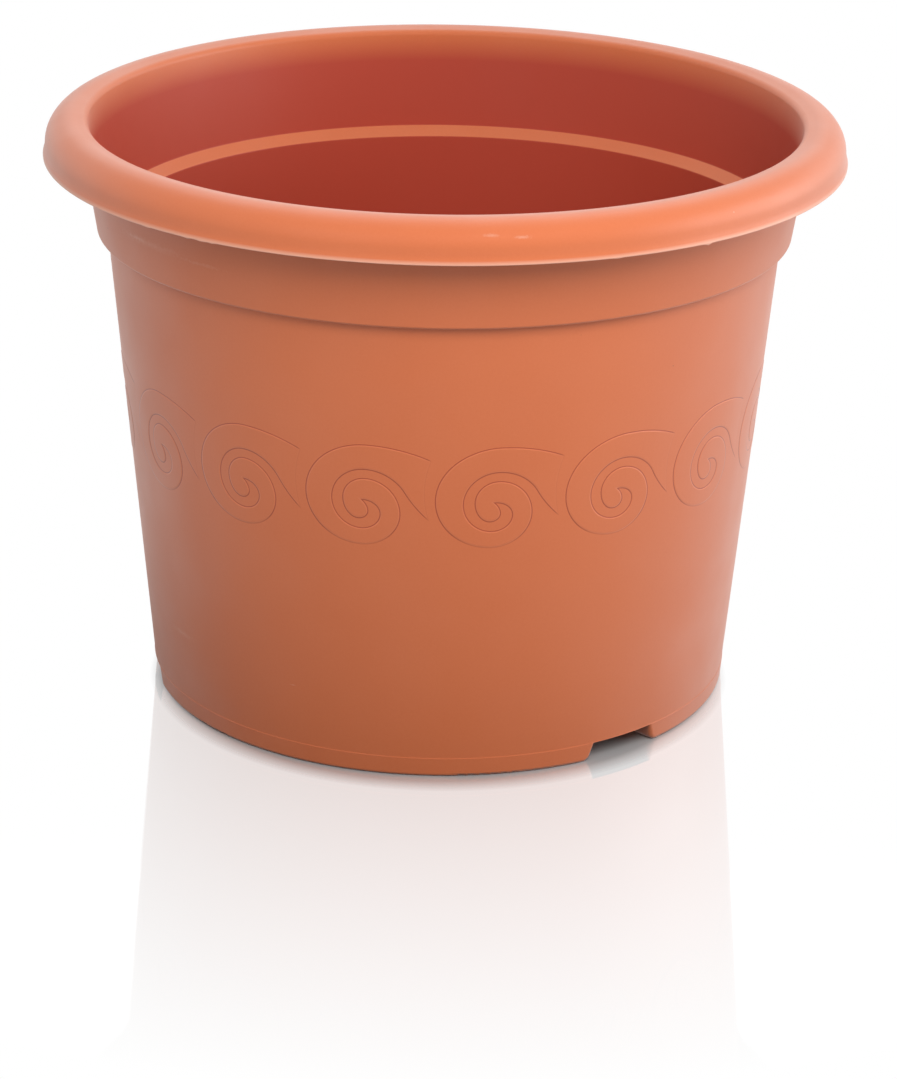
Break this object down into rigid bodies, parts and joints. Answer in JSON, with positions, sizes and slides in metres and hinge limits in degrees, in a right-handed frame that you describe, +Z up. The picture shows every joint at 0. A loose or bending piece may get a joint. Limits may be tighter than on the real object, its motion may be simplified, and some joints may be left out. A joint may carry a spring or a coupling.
{
  "type": "flower pot",
  "caption": "Round tapered plastic flower pot with a rolled rim, a collar, a raised running-scroll frieze, drain holes and a notched foot; holds soil and a plant.",
  "frame": {"origin": "centre of the pot on the ground, under the foot", "axes": "+Z up along the pot's axis, -Y towards the front as pictured, +X to the picture's right"},
  "size_m": [0.3, 0.3, 0.2214],
  "materials": {
    "terracotta_polypropylene": "satin moulded polypropylene in terracotta, with a fine even grain"
  },
  "bodies": {
    "root": {"rim": "terracotta_polypropylene", "collar": "terracotta_polypropylene", "wall": "terracotta_polypropylene", "floor": "terracotta_polypropylene", "foot_1": "terracotta_polypropylene", "foot_2": "terracotta_polypropylene", "foot_3": "terracotta_polypropylene", "scroll_01": "terracotta_polypropylene", "scroll_02": "terracotta_polypropylene", "scroll_03": "terracotta_polypropylene", "scroll_04": "terracotta_polypropylene", "scroll_05": "terracotta_polypropylene", "scroll_06": "terracotta_polypropylene", "scroll_07": "terracotta_polypropylene", "scroll_08": "terracotta_polypropylene", "scroll_09": "terracotta_polypropylene", "scroll_10": "terracotta_polypropylene", "scroll_11": "terracotta_polypropylene", "scroll_12": "terracotta_polypropylene", "scroll_13": "terracotta_polypropylene", "scroll_14": "terracotta_polypropylene", "scroll_15": "terracotta_polypropylene", "scroll_16": "terracotta_polypropylene"}
  },
  "joints": []
}
